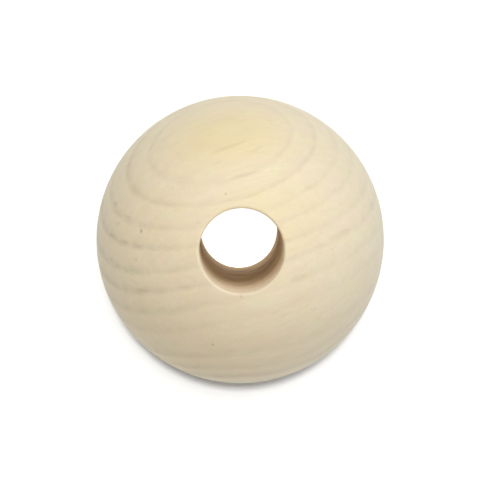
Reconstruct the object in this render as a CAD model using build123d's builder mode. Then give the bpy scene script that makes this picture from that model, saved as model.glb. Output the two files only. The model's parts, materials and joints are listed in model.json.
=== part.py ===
"""A large round wooden bead: a ball of pale, unfinished hardwood with a hole drilled through its middle.

The bead is one piece of wood. It was turned to a ball on a lathe, drilled straight through along
the middle of the ball, and sanded, which eased the sharp edge at each mouth of the bore to a small
round.

Lengths are in millimetres. The bore runs along +Z, and the bead stands on one of its ends, on the
narrow rounded rim of the lower mouth. The origin is in the middle of that rim, at the height of the
surface that the bead stands on.
"""

import os
from math import sqrt

from build123d import *

# Driving sizes
ball_diameter = 50.0  # of the turned ball, before its ends are drilled away
bore_diameter = 14.0  # of the drill
mouth_round = 0.4  # radius that sanding left on the edge of each mouth

# Worked out from the driving sizes
ball_radius = ball_diameter / 2
bore_radius = bore_diameter / 2

# The round of each mouth touches the ball from inside and the bore from outside, which sets how far
# its centre lies from the middle of the bead. The ring that the bead stands on is one round further
# out, so that is also how high the middle of the bead stands.
wall_end = sqrt((ball_radius - mouth_round) ** 2 - (bore_radius + mouth_round) ** 2)
middle_height = wall_end + mouth_round

# The bead: half of its lengthwise section, on one side of the bore, turned about the bore's axis
with BuildPart() as bead:
    with BuildSketch(Plane.XZ) as half_section:
        with Locations((0, middle_height)):
            Circle(ball_radius)
        with Locations((bore_radius, middle_height)):
            Rectangle(
                ball_radius,
                ball_diameter,
                align=(Align.MIN, Align.CENTER),
                mode=Mode.INTERSECT,
            )
        fillet(half_section.vertices(), radius=mouth_round)
    revolve(axis=Axis.Z)
bead.part.label = "bead"

os.makedirs("parts", exist_ok=True)
export_step(bead.part, "parts/bead.step")

box = bead.part.bounding_box()
print(f"across {box.size.X:.3f} x {box.size.Y:.3f}, end to end {box.size.Z:.3f}")
print(f"lowest point {box.min.Z:.4f}, middle at {middle_height:.4f}")
print(f"straight bore wall {2 * wall_end:.3f} long, volume {bead.part.volume / 1000:.3f} cm3")
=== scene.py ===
"""The looks of a large round wooden bead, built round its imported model.

The bead is one piece of pale, unfinished hardwood, turned to a ball, drilled through and sanded. Its
bore is upright, and the camera looks down on it, almost along the bore. Places and sizes are in
metres, names that end in _mm are in millimetres, and names that end in _turn are in degrees.
"""

import json
import math

import bmesh
import bpy
from mathutils import Matrix, Vector, noise


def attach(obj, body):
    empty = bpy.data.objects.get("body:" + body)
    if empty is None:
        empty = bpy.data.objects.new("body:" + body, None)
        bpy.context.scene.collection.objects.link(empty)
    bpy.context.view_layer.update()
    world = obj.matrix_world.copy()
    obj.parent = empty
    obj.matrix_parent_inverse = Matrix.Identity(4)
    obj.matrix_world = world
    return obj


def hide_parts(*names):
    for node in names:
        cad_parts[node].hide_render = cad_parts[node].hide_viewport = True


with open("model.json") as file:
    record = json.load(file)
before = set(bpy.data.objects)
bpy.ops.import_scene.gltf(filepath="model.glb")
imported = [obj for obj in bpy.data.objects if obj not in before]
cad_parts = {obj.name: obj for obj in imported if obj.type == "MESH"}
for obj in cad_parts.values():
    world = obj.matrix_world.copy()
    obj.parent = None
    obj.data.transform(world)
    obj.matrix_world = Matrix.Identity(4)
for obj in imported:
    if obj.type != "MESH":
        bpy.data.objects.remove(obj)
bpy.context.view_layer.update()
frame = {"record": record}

MM = 0.001

# The bead's own sizes, worked out from the bore that the record states. The straight wall of the
# bore ends where the rounded edge of a mouth starts, and the bead stands on that edge.
bore = frame["record"]["mounts"][0]
bore_radius = bore["dims"]["r_mm"] * MM
wall_end = bore["dims"]["length_mm"] * MM / 2
middle = Vector(bore["pos_m"])
mouth_round = middle.z - wall_end
ball_radius = mouth_round + math.hypot(wall_end, bore_radius + mouth_round)

# The camera looks almost along the bore. It stands as far back as the sizes of the two mouths in the
# photo say, but a fit to their edges puts it at 12 ball radii, so the distance is uncertain.
toward_camera = Vector((-0.0107, 0.079, 0.9968)).normalized()
camera_right = (Vector((1, 0, 0)) - toward_camera * toward_camera.x).normalized()
camera_up = toward_camera.cross(camera_right)
camera_axes = Matrix((camera_right, camera_up, toward_camera)).transposed()
camera_distance = 17.6 * ball_radius
lens_mm = 189.5
sensor_mm = 36.0

# The photo's bore lies a little off the ball's middle, and here it is true. The frame is moved to
# share out the difference.
frame_shift_mm = (-0.03, -0.11)


def as_seen(right, up, near):
    """A direction or a step in the photo's own terms: to its right, up it, and toward its camera."""
    return camera_right * right + camera_up * up + toward_camera * near


# How the wood lay in the tree. The trunk ran from left to right through the bead, rising to the
# right, and its pith lay outside the bead, past the upper part that faces the camera. These values
# and the swellings are a program's fit of such rings to the photo's lines, and weren't chosen by hand.
trunk_direction = as_seen(0.946, 0.316, -0.077).normalized()
pith_side = as_seen(-0.215, 0.786, 0.580)
pithward = (pith_side - pith_side.dot(trunk_direction) * trunk_direction).normalized()
trunk_axes = Matrix((pithward, trunk_direction.cross(pithward), trunk_direction)).transposed()
pith_distance_mm = 38.45

# Where the trunk swelled, as over an old branch, and pushed its rings outward: the place, from the
# middle of the bead, how far the swelling reached, and how far it moved the rings
trunk_swellings_mm = (
    (as_seen(-2.2, 15.7, 18.6), 16.4, 15.8),
    (as_seen(10.9, -21.3, 11.1), 13.9, 3.6),
)

# The dark wood that ended each year: how far it would lie from the pith in a straight trunk, and
# how dark it is beside a plain year's. A program found the first twelve places in the fitted rings,
# and they were then moved by a few tenths. The last three places and the darkness are given one by one.
year_ends_mm = (
    (0.3, 0.35),
    (8.5, 0.7),
    (14.5, 1.0),
    (20.5, 0.65),
    (25.2, 0.75),
    (30.3, 0.75),
    (34.3, 0.75),
    (38.4, 0.7),
    (42.2, 0.4),
    (47.9, 0.8),
    (50.9, 0.8),
    (53.6, 1.5),
    (57.0, 1.3),
    (60.5, 1.6),
    (66.2, 1.7),
)
innermost_mm = -4.0
outermost_mm = 70.0

# A year's wood darkens slowly, then quickly over its last part, and the next year's starts pale
last_growth_mm = 1.3
new_growth_mm = 1.0
before_last_growth = 0.3

# How strongly a year shows: unevenly along it, between two shares, and most on the end grain that
# the photo has to its left, where the surface faces against the trunk's direction
patchy_years = (0.4, 1.2)
end_grain_facing = -0.8
side_grain_facing = -0.3
end_grain_lines = 0.5
side_grain_lines = 0.21

# Unevenness in the wood: its width across the grain and length along it in millimetres, how many
# finer layers it has, and how strong each is beside the one before. Fibres are a fiftieth of a
# millimetre wide, too fine to show, so they are drawn in bundles, as coarse as they need to be.
ring_waver = (6.0, 14.0, 2, 0.5)
ring_fray = (0.9, 3.0, 3, 0.6)
year_patches = (2.5, 9.0, 3, 0.6)
fine_fibres = (0.32, 4.5, 2, 0.6)
broad_fibres = (1.1, 22.0, 3, 0.55)
ring_waver_mm = 0.7
ring_fray_mm = 0.9

# Noise runs from 0 to 1 but seldom leaves these bounds
noise_low = 0.3
noise_high = 0.7

# Vessels are under a tenth of a millimetre wide, too fine to show, so they are drawn as coarse as
# they need to be, as dashes along the grain: how far apart they lie, how long they are, where a dash
# is whole and where it ends, in shares of that, and the share of them that is left out
vessel_spacing_mm = 0.9
vessel_length_mm = 5.0
vessel_core = 0.08
vessel_edge = 0.2
vessels_left_out = 0.5

# The colours of the bare wood, and how far some of them go
sapwood = "#efe6c8"
yellow_wood = "#efdba4"
fibre_brown = "#cfb78c"
year_brown = "#b4a382"
vessel_brown = "#a5875f"
streak_brown = "#9c8450"
speck_brown = "#8a7350"
fibre_amount = 0.24
vessel_amount = 0.11

# Soft patches of other tones that the sapwood has: tint, greatest amount, width and length of a
# patch, and a shift that keeps the patterns apart, in millimetres
wood_patches = (
    ("#eee1c4", 1.0, 9.0, 16.0, 0.0),
    ("#d9c396", 0.22, 1.5, 3.5, 40.0),
    ("#ece2ac", 0.4, 2.2, 3.6, 80.0),
    ("#f4d8c4", 0.42, 2.4, 4.0, 120.0),
)

# How many finer layers those patches have, and how strong each is beside the one before
patch_layers = (3, 0.6)

# Larger yellow patches on the facing half, in millimetres right of and above its middle: half sizes
# across, up and into the wood, turn in degrees, and amount
yellow_patches = (
    (-1.8, 17.5, (12.0, 7.5, 9.0), 10, 0.55),
    (6.0, 4.0, (11.0, 8.0, 8.0), 15, 0.28),
)

# Specks on the facing half, in millimetres right of and above its middle: half width, half height,
# turn in degrees, and darkness
specks = (
    (-16.5, 1.4, 0.22, 0.42, 0, 0.5),
    (-2.4, 7.5, 0.2, 0.25, 0, 0.3),
    (0.2, -9.5, 0.2, 0.4, 30, 0.22),
    (-4.6, -17.6, 0.2, 0.2, 0, 0.5),
    (-17.4, -3.4, 0.22, 0.35, 0, 0.2),
    (-21.1, 6.0, 0.5, 0.5, 0, 0.2),
    (-20.6, 2.6, 0.5, 0.4, 30, 0.14),
    (-21.8, -3.4, 0.4, 0.35, 0, 0.16),
)

# Longer dark or yellow marks along the grain, in the same terms
streaks = (
    (-21.7, 0.6, 1.0, 0.4, -28, 0.2),
    (-19.4, -0.4, 1.0, 0.35, -24, 0.18),
    (-17.0, -1.2, 0.9, 0.3, -12, 0.12),
    (-14.4, -1.7, 1.2, 0.25, -3, 0.12),
    (-18.8, 3.7, 1.4, 0.35, -30, 0.14),
    (-15.9, -8.6, 1.9, 0.35, -2, 0.14),
    (-9.4, -8.0, 1.1, 0.3, 5, 0.1),
    (-1.8, 15.4, 3.7, 0.4, 20, 0.14),
    (2.9, 15.1, 1.5, 0.35, 26, 0.1),
    (0.7, 10.7, 2.6, 0.4, 14, 0.12),
    (1.9, 7.2, 2.0, 0.35, 20, 0.1),
    (11.4, 8.5, 1.9, 0.35, 22, 0.1),
    (7.6, -0.1, 1.0, 0.25, 5, 0.12),
    (13.3, -1.1, 1.4, 0.35, 10, 0.08),
    (9.7, -6.4, 1.7, 0.6, 15, 0.1),
    (22.4, 5.7, 1.6, 0.7, 45, 0.12),
    (17.6, 1.4, 2.0, 0.35, 20, 0.08),
)

# How far a speck or mark reaches into the wood
mark_depth_mm = 1.5

# An oval patch or mark is whole inside the first share of its half sizes, and gone past the second
patch_core = 0.3
patch_edge = 1.3

# How sanded and drilled wood shines, and how deep its relief is
wood_ior = 1.5
sanded_roughness = 0.62
sanded_bloom = 0.2
bloom_colour = "#c4d8dc"
fibre_relief = 0.05 * MM
vessel_relief = 0.05 * MM
sanded_bump = 0.5
drilled_roughness = 0.8
drilled_shine = 0.3
drilled_relief = 0.12 * MM
drilled_bump = 0.6

# The wall of the bore has painted light near its upper mouth, a pale cream, and from some way down it has
# painted shade, a deeper yellow, with browner streaks that the drill left there
painted_light_until = 2 * MM
painted_shade_from = 22 * MM
painted_light_cream = "#fdeed6"
painted_light_amount = 0.8
painted_shade_yellow = "#f8dca8"
painted_shade_amount = 0.6
drill_streak_brown = "#a98358"
drill_streak_amount = 0.75
drill_streak_starts = 0.561

# A drill's marks are about 0.3 mm apart. They are drawn ten times as coarse, so that they show, as
# streaks round the bore: their length round it, and their width along it.
drill_streak_length = 9.1 * MM
drill_streak_width = 3.03 * MM
drill_streak_layers = 3
drill_streak_roughness = 0.65
drill_streak_wander = 0.6

# What sanding and drilling left in the shape: hollows in the ball, always inward, with finer ones
# over them, and scores in the bore. The hollows fade out toward the mouths.
sanding_wave = 9 * MM
sanding_depth = 0.02 * MM
mean_hollow = 0.75
finer_hollows = 2.3
hollows_from_mouth = 4 * MM
score_pitch = 1.1 * MM
score_depth = 0.05 * MM
score_drift = 6 * MM

# How finely the section is stepped, how near two points are one, and how near the wall of the bore
# a point lies on it
mouth_steps = 8
ball_steps = 150
wall_cuts = 60
turn_steps = 360
same_point = 1e-7
on_the_wall = 0.01 * MM

# Light and ground
white = "#ffffff"
studio_light = 0.21
paper_colour = "#e6e6e6"
ground_glow = 0.05
floor_half_width = 0.6
bore_watts = 0.00018
bore_lamp_height = 0.2 * MM

# The photo's floor runs away under the bead's round side, and here it lies flat behind the bead, so
# each has lamps of its own. The lamps for the floor are far off, so that the bead's shadow shows only
# as the photo's narrow crescent below it: name, offset from the bead's middle, width, watts, colour.
floor_lamps = (
    ("ground_lamp", (-0.02, 0.505, 3.0), 0.15, 52.0, white),
    ("ground_side_lamp", (0.06, 0.61, 3.0), 0.4, 20.0, white),
)

# The lamps for the bead, in the same terms. Most of the light comes from above the photo's frame and
# from its right, where it is a little cooler, and the low lamp stands in for what the photo's floor
# sends back.
bead_lamps = (
    ("key_lamp", (0.02, 0.4, 0.5), 0.45, 2.25, white),
    ("front_lamp", (0.0, 0.17, 0.6), 0.3, 0.28, white),
    ("upper_right_lamp", (0.32, 0.32, 0.45), 0.4, 0.52, "#f6f9ff"),
    ("right_lamp", (0.6, 0.0, 0.22), 0.4, 0.82, "#cfe2ff"),
    ("left_lamp", (-0.55, -0.25, 0.25), 0.4, 0.27, white),
    ("low_lamp", (0.02, -0.32, 0.55), 0.4, 1.08, "#fff6ec"),
)

# A Mix node's sockets share their names, so they go by their places: those of its two numbers, those
# of its two colours, and its colour output
NUMBER_A = 2
NUMBER_B = 3
COLOUR_A = 6
COLOUR_B = 7
COLOUR_OUT = 2


def linear(hex_colour):
    """A colour written as on screen, turned to the linear values that a shader takes."""
    parts = [int(hex_colour[i : i + 2], 16) / 255 for i in (1, 3, 5)]
    return tuple(p / 12.92 if p <= 0.04045 else ((p + 0.055) / 1.055) ** 2.4 for p in parts) + (1.0,)


def add(shader, kind, inputs=None, **settings):
    """Adds one node with its settings. Each input is a plain value, or the output that feeds it."""
    made = shader.nodes.new(kind)
    for name, value in settings.items():
        setattr(made, name, value)
    for socket, value in (inputs or {}).items():
        if isinstance(value, bpy.types.NodeSocket):
            shader.links.new(value, made.inputs[socket])
        else:
            made.inputs[socket].default_value = value
    return made


def new_material(name):
    """An empty material, with its node tree."""
    made = bpy.data.materials.new(name)
    made.use_nodes = True
    made.node_tree.nodes.clear()
    return made, made.node_tree


def place_in_trunk(shader, place):
    """Where each point lay in the trunk, in millimetres from its pith."""
    return add(
        shader,
        "ShaderNodeMapping",
        {
            "Vector": place,
            "Location": middle + pithward * pith_distance_mm * MM,
            "Rotation": trunk_axes.to_euler(),
            "Scale": (MM, MM, MM),
        },
        vector_type="TEXTURE",
    ).outputs[0]


def along_grain(shader, in_trunk, width_mm, length_mm, shift_mm=0.0):
    """Coordinates for a pattern of that width across the trunk and that length along it."""
    return add(
        shader,
        "ShaderNodeVectorMath",
        {
            0: in_trunk,
            1: (1 / width_mm, 1 / width_mm, 1 / length_mm),
            2: (shift_mm / width_mm, 0, shift_mm / length_mm),
        },
        operation="MULTIPLY_ADD",
    ).outputs[0]


def uneven_grain(shader, in_trunk, width_mm, length_mm, layers, roughness, shift_mm=0.0):
    """Unevenness of that width and length in the wood, from 0 to 1 and mostly near a half."""
    return add(
        shader,
        "ShaderNodeTexNoise",
        {
            "Vector": along_grain(shader, in_trunk, width_mm, length_mm, shift_mm),
            "Scale": 1,
            "Detail": layers,
            "Roughness": roughness,
        },
    ).outputs[0]


def stain(shader, colour, tint, pattern, starts=0.0, full=1.0, amount=1.0):
    """A colour that moves toward a tint, up to an amount, as a pattern goes from one value to another."""
    share = add(
        shader,
        "ShaderNodeMapRange",
        {"Value": pattern, "From Min": starts, "From Max": full, "To Max": amount},
    ).outputs[0]
    return add(
        shader,
        "ShaderNodeMix",
        {"Factor": share, COLOUR_A: colour, COLOUR_B: linear(tint)},
        data_type="RGBA",
    ).outputs[COLOUR_OUT]


def ring_radius(shader, in_trunk):
    """How far out of the pith each point would have grown, in millimetres, in a straight trunk."""
    from_pith = add(
        shader, "ShaderNodeVectorMath", {0: in_trunk, 1: (1, 1, 0)}, operation="MULTIPLY"
    ).outputs[0]
    radius = add(shader, "ShaderNodeVectorMath", {0: from_pith}, operation="LENGTH").outputs["Value"]
    for place_mm, reach_mm, rise_mm in trunk_swellings_mm:
        centre = trunk_axes.transposed() @ place_mm
        centre.x -= pith_distance_mm
        away = add(
            shader, "ShaderNodeVectorMath", {0: in_trunk, 1: centre}, operation="DISTANCE"
        ).outputs["Value"]
        share = add(shader, "ShaderNodeMath", {0: away, 1: reach_mm}, operation="DIVIDE").outputs[0]
        square = add(shader, "ShaderNodeMath", {0: share, 1: share}, operation="MULTIPLY").outputs[0]
        bell = add(shader, "ShaderNodeMath", {0: math.exp(-1), 1: square}, operation="POWER").outputs[0]
        radius = add(
            shader, "ShaderNodeMath", {0: bell, 1: -rise_mm, 2: radius}, operation="MULTIPLY_ADD"
        ).outputs[0]
    for size, reach_mm in ((ring_waver, ring_waver_mm), (ring_fray, ring_fray_mm)):
        uneven = uneven_grain(shader, in_trunk, *size)
        centred = add(shader, "ShaderNodeMath", {0: uneven, 1: 0.5}, operation="SUBTRACT").outputs[0]
        radius = add(
            shader, "ShaderNodeMath", {0: centred, 1: reach_mm, 2: radius}, operation="MULTIPLY_ADD"
        ).outputs[0]
    return radius


def draw_curve(node, points):
    """Draws a Float Curve through points, in straight runs."""
    curve = node.mapping.curves[0]
    curve.points[0].location = points[0]
    curve.points[1].location = points[-1]
    for place in points[1:-1]:
        curve.points.new(*place)
    for point in curve.points:
        point.handle_type = "VECTOR"
    node.mapping.update()


def year_lines(shader, in_trunk):
    """How dark each point is with its place in its year, patchily, as wood that grew unevenly."""
    span = outermost_mm - innermost_mm
    points = [(0, 0)]
    for radius_mm, dark in year_ends_mm:
        end = (radius_mm - innermost_mm) / span
        points.append((end - last_growth_mm / span, dark * before_last_growth))
        points.append((end, dark))
        points.append((end + new_growth_mm / span, 0))
    points.append((1, 0))
    grown = add(
        shader,
        "ShaderNodeMapRange",
        {"Value": ring_radius(shader, in_trunk), "From Min": innermost_mm, "From Max": outermost_mm},
    ).outputs[0]
    darkness = add(shader, "ShaderNodeFloatCurve", {"Value": grown})
    draw_curve(darkness, points)
    strength = add(
        shader,
        "ShaderNodeMapRange",
        {
            "Value": uneven_grain(shader, in_trunk, *year_patches),
            "From Min": noise_low,
            "From Max": noise_high,
            "To Min": patchy_years[0],
            "To Max": patchy_years[1],
        },
    ).outputs[0]
    return add(
        shader, "ShaderNodeMath", {0: darkness.outputs[0], 1: strength}, operation="MULTIPLY"
    ).outputs[0]


def shown_lines(shader, lines, normal):
    """The year lines as the surface shows them: strongly on the end grain, faintly elsewhere."""
    facing = add(
        shader,
        "ShaderNodeVectorMath",
        {0: normal, 1: trunk_direction},
        operation="DOT_PRODUCT",
    ).outputs["Value"]
    shown = add(
        shader,
        "ShaderNodeMapRange",
        {
            "Value": facing,
            "From Min": side_grain_facing,
            "From Max": end_grain_facing,
            "To Min": side_grain_lines,
            "To Max": end_grain_lines,
        },
    ).outputs[0]
    return add(shader, "ShaderNodeMath", {0: lines, 1: shown}, operation="MULTIPLY").outputs[0]


def fibre_streaks(shader, in_trunk):
    """Bundles of fibres along the grain, fine and broad ones in equal parts."""
    fine = uneven_grain(shader, in_trunk, *fine_fibres)
    broad = uneven_grain(shader, in_trunk, *broad_fibres)
    return add(
        shader, "ShaderNodeMix", {"Factor": 0.5, NUMBER_A: fine, NUMBER_B: broad}, data_type="FLOAT"
    ).outputs[0]


def cut_vessels(shader, in_trunk):
    """The tree's vessels where the surface cuts them: dashes along the grain, and dots on its end."""
    cells = add(
        shader,
        "ShaderNodeTexVoronoi",
        {"Vector": along_grain(shader, in_trunk, vessel_spacing_mm, vessel_length_mm), "Scale": 1},
    )
    near = add(
        shader,
        "ShaderNodeMapRange",
        {"Value": cells.outputs["Distance"], "From Min": vessel_edge, "From Max": vessel_core},
    ).outputs[0]
    lot = add(shader, "ShaderNodeSeparateColor", {0: cells.outputs["Color"]}).outputs[0]
    some = add(shader, "ShaderNodeMath", {0: lot, 1: vessels_left_out}, operation="GREATER_THAN").outputs[0]
    return add(shader, "ShaderNodeMath", {0: near, 1: some}, operation="MULTIPLY").outputs[0]


def on_ball(right_mm, up_mm):
    """The place on the ball's facing half at those distances right of and above its middle."""
    near_mm = math.sqrt((ball_radius / MM) ** 2 - right_mm**2 - up_mm**2)
    return middle + as_seen(right_mm, up_mm, near_mm) * MM


def soft_patch(shader, place, right_mm, up_mm, half_sizes_mm, seen_turn):
    """1 inside an oval patch on the facing half of the ball, fading to 0 past its edge."""
    turned = camera_axes @ Matrix.Rotation(math.radians(seen_turn), 3, "Z")
    local = add(
        shader,
        "ShaderNodeMapping",
        {
            "Vector": place,
            "Location": on_ball(right_mm, up_mm),
            "Rotation": turned.to_euler(),
            "Scale": [half_mm * MM for half_mm in half_sizes_mm],
        },
        vector_type="TEXTURE",
    ).outputs[0]
    away = add(shader, "ShaderNodeVectorMath", {0: local}, operation="LENGTH").outputs["Value"]
    return add(
        shader,
        "ShaderNodeMapRange",
        {"Value": away, "From Min": patch_edge, "From Max": patch_core},
        interpolation_type="SMOOTHSTEP",
    ).outputs[0]


def marks(shader, place, rows):
    """How dark each point is with the small marks that lie on it."""
    total = 0.0
    for right_mm, up_mm, wide_mm, high_mm, seen_turn, dark in rows:
        sizes_mm = (wide_mm, high_mm, mark_depth_mm)
        patch = soft_patch(shader, place, right_mm, up_mm, sizes_mm, seen_turn)
        mark = add(shader, "ShaderNodeMath", {0: patch, 1: dark}, operation="MULTIPLY").outputs[0]
        total = add(shader, "ShaderNodeMath", {0: total, 1: mark}, operation="MAXIMUM").outputs[0]
    return total


def bare_wood(shader):
    """The wood under both finishes: its colour, and its fibres and vessels for the relief.

    Birch, maple or linden, which hardly differ at this size: cream sapwood, yellower and greyer by
    patches. The grain is solid, so its lines run on from the ball's face to its sides and its bore.
    """
    coordinates = add(shader, "ShaderNodeTexCoord").outputs
    place = coordinates["Object"]
    in_trunk = place_in_trunk(shader, place)
    colour = linear(sapwood)
    for tint, amount, width_mm, length_mm, shift_mm in wood_patches:
        patches = uneven_grain(shader, in_trunk, width_mm, length_mm, *patch_layers, shift_mm)
        colour = stain(shader, colour, tint, patches, noise_low, noise_high, amount)
    for right_mm, up_mm, half_sizes_mm, seen_turn, amount in yellow_patches:
        patch = soft_patch(shader, place, right_mm, up_mm, half_sizes_mm, seen_turn)
        colour = stain(shader, colour, yellow_wood, patch, amount=amount)
    fibres = fibre_streaks(shader, in_trunk)
    colour = stain(shader, colour, fibre_brown, fibres, noise_high, noise_low, fibre_amount)
    lines = shown_lines(shader, year_lines(shader, in_trunk), coordinates["Normal"])
    colour = stain(shader, colour, year_brown, lines)
    vessels = cut_vessels(shader, in_trunk)
    colour = stain(shader, colour, vessel_brown, vessels, amount=vessel_amount)
    colour = stain(shader, colour, streak_brown, marks(shader, place, streaks))
    colour = stain(shader, colour, speck_brown, marks(shader, place, specks))
    return colour, fibres, vessels


def sanded_hardwood():
    """Pale hardwood, turned, sanded and left bare.

    Sanding cuts the fibres short and leaves no gloss: the eye sees a matt cream ball with soft lines
    where its years end, and a faint cool bloom of cut fibres toward its outline.
    """
    made, shader = new_material("sanded_pale_hardwood")
    colour, fibres, vessels = bare_wood(shader)
    nap = add(
        shader, "ShaderNodeBump", {"Height": fibres, "Strength": sanded_bump, "Distance": fibre_relief}
    ).outputs[0]
    relief = add(
        shader,
        "ShaderNodeBump",
        {"Height": vessels, "Strength": sanded_bump, "Distance": vessel_relief, "Normal": nap},
        invert=True,
    ).outputs[0]
    skin = add(
        shader,
        "ShaderNodeBsdfPrincipled",
        {
            "Base Color": colour,
            "Roughness": sanded_roughness,
            "IOR": wood_ior,
            "Sheen Weight": sanded_bloom,
            "Sheen Tint": linear(bloom_colour),
            "Normal": relief,
        },
    )
    add(shader, "ShaderNodeOutputMaterial", {"Surface": skin.outputs[0]})
    return made


def drill_streaks(shader, place):
    """The streaks that the drill left round the bore, from 0 to 1 and mostly near a half."""
    round_the_bore = add(
        shader,
        "ShaderNodeVectorMath",
        {0: place, 1: (1 / drill_streak_length, 1 / drill_streak_length, 1 / drill_streak_width)},
        operation="MULTIPLY",
    ).outputs[0]
    return add(
        shader,
        "ShaderNodeTexNoise",
        {
            "Vector": round_the_bore,
            "Scale": 1,
            "Detail": drill_streak_layers,
            "Roughness": drill_streak_roughness,
            "Distortion": drill_streak_wander,
        },
    ).outputs[0]


def drilled_hardwood():
    """The same wood where a drill cut it.

    It was never sanded, so it is rougher and has less shine. Its colour has painted light, a pale cream
    near the upper mouth, and painted shade, a deeper yellow down the bore, with brown drill streaks there.
    """
    made, shader = new_material("drilled_pale_hardwood")
    colour = bare_wood(shader)[0]
    place = add(shader, "ShaderNodeTexCoord").outputs["Object"]
    scores = drill_streaks(shader, place)
    height = add(shader, "ShaderNodeSeparateXYZ", {0: place}).outputs["Z"]
    upper_end = middle.z + wall_end
    # Painted light and shade: down the bore the colour goes from a painted pale cream to a painted deeper
    # yellow with drill streaks
    depth = add(
        shader,
        "ShaderNodeMapRange",
        {
            "Value": height,
            "From Min": upper_end - painted_light_until,
            "From Max": upper_end - painted_shade_from,
        },
    ).outputs[0]
    painted_light_colour = add(
        shader,
        "ShaderNodeMix",
        {"Factor": painted_light_amount, COLOUR_A: colour, COLOUR_B: linear(painted_light_cream)},
        data_type="RGBA",
    ).outputs[COLOUR_OUT]
    painted_shade_colour = add(
        shader,
        "ShaderNodeMix",
        {"Factor": painted_shade_amount, COLOUR_A: colour, COLOUR_B: linear(painted_shade_yellow)},
        data_type="RGBA",
    ).outputs[COLOUR_OUT]
    painted_shade_colour = stain(
        shader, painted_shade_colour, drill_streak_brown, scores, drill_streak_starts, noise_low, drill_streak_amount
    )
    colour = add(
        shader,
        "ShaderNodeMix",
        {"Factor": depth, COLOUR_A: painted_light_colour, COLOUR_B: painted_shade_colour},
        data_type="RGBA",
    ).outputs[COLOUR_OUT]
    relief = add(
        shader,
        "ShaderNodeBump",
        {"Height": scores, "Strength": drilled_bump, "Distance": drilled_relief},
    ).outputs[0]
    skin = add(
        shader,
        "ShaderNodeBsdfPrincipled",
        {
            "Base Color": colour,
            "Roughness": drilled_roughness,
            "IOR": wood_ior,
            "Specular IOR Level": drilled_shine,
            "Normal": relief,
        },
    )
    add(shader, "ShaderNodeOutputMaterial", {"Surface": skin.outputs[0]})
    return made


def spun(bm, last, centre, angle, steps):
    """Carries the last point of the section round an arc in the section's plane."""
    done = bmesh.ops.spin(
        bm,
        geom=last,
        cent=centre,
        axis=(0, -1, 0),
        angle=angle,
        steps=steps,
        use_merge=False,
        use_duplicate=False,
    )
    return [g for g in done["geom_last"] if isinstance(g, bmesh.types.BMVert)]


def bead_section(bm):
    """Half the lengthwise section of the bead: two mouth rounds, the ball's arc and the bore's wall."""
    lean = math.atan2(bore_radius + mouth_round, wall_end)
    tip = [bm.verts.new((bore_radius, 0, middle.z - wall_end))]
    mouth = Vector((bore_radius + mouth_round, 0, middle.z - wall_end))
    tip = spun(bm, tip, mouth, math.pi / 2 + lean, mouth_steps)
    tip = spun(bm, tip, middle, math.pi - 2 * lean, ball_steps)
    mouth.z = middle.z + wall_end
    spun(bm, tip, mouth, math.pi / 2 + lean, mouth_steps)
    bmesh.ops.remove_doubles(bm, verts=bm.verts, dist=same_point)
    ends = [v for v in bm.verts if len(v.link_edges) == 1]
    wall = bmesh.ops.contextual_create(bm, geom=ends)["edges"]
    bmesh.ops.subdivide_edges(bm, edges=wall, cuts=wall_cuts)


def sand_and_score(bm):
    """Leaves the ball a little uneven from sanding, always inward, and the bore scored by the drill."""
    for vert in bm.verts:
        away = Vector((vert.co.x, vert.co.y, 0)).length
        if away < bore_radius + on_the_wall:
            score = noise.noise(Vector((0, 0, vert.co.z / score_pitch)))
            score += noise.noise(vert.co / score_drift) / 2
            vert.co.xy *= 1 + max(score, 0) * score_depth / bore_radius
        else:
            out = (vert.co - middle).normalized()
            hollow = noise.noise(vert.co / sanding_wave)
            hollow += noise.noise(vert.co / sanding_wave * finer_hollows) / 2
            beyond_mouth = min((away - bore_radius) / hollows_from_mouth, 1)
            vert.co -= out * (mean_hollow + hollow / 2) * sanding_depth * beyond_mouth


def bead_mesh():
    """The bead's section, turned about the bore."""
    bm = bmesh.new()
    bead_section(bm)
    bmesh.ops.spin(
        bm,
        geom=bm.verts[:] + bm.edges[:],
        cent=middle,
        axis=(0, 0, 1),
        angle=2 * math.pi,
        steps=turn_steps,
        use_merge=True,
        use_duplicate=False,
    )
    bmesh.ops.remove_doubles(bm, verts=bm.verts, dist=same_point)
    for face in bm.faces:
        centre = face.calc_center_median()
        face.material_index = int(Vector(centre.xy).length < bore_radius)
        face.smooth = True
    sand_and_score(bm)
    bmesh.ops.recalc_face_normals(bm, faces=bm.faces)
    mesh = bpy.data.meshes.new("turned_bead")
    bm.to_mesh(mesh)
    bm.free()
    return mesh


def make_bead():
    """The whole object: one turned and drilled piece, in its two finishes."""
    bead = bpy.data.objects.new("turned_bead", bead_mesh())
    bpy.context.scene.collection.objects.link(bead)
    bead.data.materials.append(sanded_hardwood())
    bead.data.materials.append(drilled_hardwood())
    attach(bead, "root")
    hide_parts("bead")
    return bead


def seen_rays(shader):
    """1 where the camera looks, straight or by way of a gloss or a glass, and 0 for the light itself."""
    rays = add(shader, "ShaderNodeLightPath").outputs
    mirrored = add(
        shader,
        "ShaderNodeMath",
        {0: rays["Is Glossy Ray"], 1: rays["Is Transmission Ray"]},
        operation="MAXIMUM",
    ).outputs[0]
    return add(
        shader, "ShaderNodeMath", {0: rays["Is Camera Ray"], 1: mirrored}, operation="MAXIMUM"
    ).outputs[0]


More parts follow.
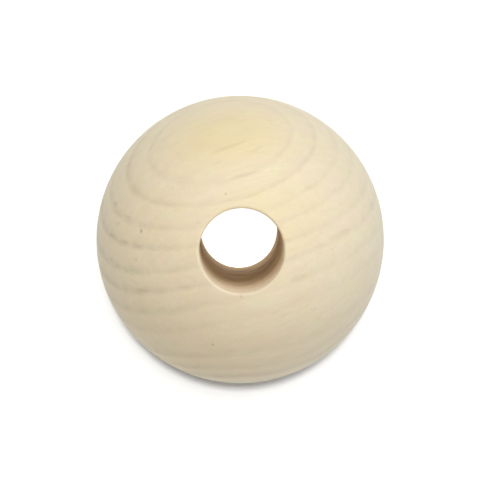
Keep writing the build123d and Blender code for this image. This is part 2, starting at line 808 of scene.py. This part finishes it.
def white_ground():
    """Matt white paper. The camera sees it a little overexposed, as in the photo, with the shadow.

    Through the bore it has a painted glow, plain white to the camera where the bead shades it, and the
    light that it sends back is that of plain paper.
    """
    made, shader = new_material("white_paper_ground")
    paper = add(shader, "ShaderNodeBsdfDiffuse", {"Color": linear(paper_colour)}).outputs[0]
    bright_paper = add(shader, "ShaderNodeBsdfDiffuse", {"Color": linear(white)}).outputs[0]
    place = add(shader, "ShaderNodeTexCoord").outputs["Object"]
    away = add(shader, "ShaderNodeVectorMath", {0: place}, operation="LENGTH").outputs["Value"]
    # Painted light: inside the bore's circle, where the bead shades the ground, the camera sees it glow
    # full white
    painted_glow_in_bore = add(
        shader, "ShaderNodeMath", {0: away, 1: bore_radius + mouth_round}, operation="LESS_THAN"
    ).outputs[0]
    strength = add(
        shader, "ShaderNodeMapRange", {"Value": painted_glow_in_bore, "To Min": ground_glow, "To Max": 1.0}
    ).outputs[0]
    glow = add(shader, "ShaderNodeEmission", {"Color": linear(white), "Strength": strength}).outputs[0]
    lit = add(shader, "ShaderNodeAddShader", {0: bright_paper, 1: glow}).outputs[0]
    either = add(shader, "ShaderNodeMixShader", {0: seen_rays(shader), 1: paper, 2: lit}).outputs[0]
    add(shader, "ShaderNodeOutputMaterial", {"Surface": either})
    return made


def make_floor():
    """A plain pale floor, under the rim that the bead stands on."""
    bm = bmesh.new()
    bmesh.ops.create_grid(bm, x_segments=1, y_segments=1, size=floor_half_width)
    mesh = bpy.data.meshes.new("floor")
    bm.to_mesh(mesh)
    bm.free()
    floor = bpy.data.objects.new("floor", mesh)
    bpy.context.scene.collection.objects.link(floor)
    mesh.materials.append(white_ground())
    return floor


def soft_lamp(lit, name, offset, width, watts, colour):
    """A square soft lamp that faces the bead's middle, linked so that it lights one thing alone."""
    data = bpy.data.lights.new(name, "AREA")
    data.size = width
    data.energy = watts
    data.color = linear(colour)[:3]
    lamp = bpy.data.objects.new(name, data)
    lamp.location = middle + Vector(offset)
    lamp.rotation_mode = "QUATERNION"
    lamp.rotation_quaternion = (-Vector(offset)).to_track_quat("-Z", "Y")
    lamp.visible_camera = False
    bpy.context.scene.collection.objects.link(lamp)
    receivers = bpy.data.collections.new(name + "_lights")
    receivers.objects.link(lit)
    lamp.light_linking.receiver_collection = receivers


def bore_lamp():
    """Light from the white ground under the bead, which reaches up into the bore."""
    data = bpy.data.lights.new("ground_light_in_bore", "AREA")
    data.shape = "DISK"
    data.size = 2 * bore_radius - mouth_round
    data.energy = bore_watts
    lamp = bpy.data.objects.new("ground_light_in_bore", data)
    lamp.location = (0, 0, bore_lamp_height)
    lamp.rotation_euler = (math.pi, 0, 0)
    lamp.visible_camera = False
    bpy.context.scene.collection.objects.link(lamp)


def make_world():
    """A white studio all round, which the camera sees as white and which lights things faintly."""
    world = bpy.data.worlds.new("white_studio")
    world.use_nodes = True
    shader = world.node_tree
    shader.nodes.clear()
    strength = add(
        shader, "ShaderNodeMapRange", {"Value": seen_rays(shader), "To Min": studio_light, "To Max": 1.0}
    ).outputs[0]
    back = add(shader, "ShaderNodeBackground", {"Color": linear(white), "Strength": strength})
    add(shader, "ShaderNodeOutputWorld", {"Surface": back.outputs[0]})
    bpy.context.scene.world = world


def make_light(bead, floor):
    """Plain soft studio light, with lamps of their own for the floor and for the bead."""
    make_world()
    for row in floor_lamps:
        soft_lamp(floor, *row)
    for row in bead_lamps:
        soft_lamp(bead, *row)
    bore_lamp()


def make_camera():
    """The photo's view: from above the upper mouth, with the bead's middle in the frame's middle."""
    data = bpy.data.cameras.new("camera")
    data.lens = lens_mm
    data.sensor_width = sensor_mm
    camera = bpy.data.objects.new("camera", data)
    camera.location = middle + toward_camera * camera_distance + as_seen(*frame_shift_mm, 0) * MM
    camera.rotation_mode = "QUATERNION"
    camera.rotation_quaternion = camera_axes.to_quaternion()
    bpy.context.scene.collection.objects.link(camera)
    bpy.context.scene.camera = camera


bead = make_bead()
floor = make_floor()
make_light(bead, floor)
make_camera()
bpy.context.scene.view_settings.view_transform = "Standard"
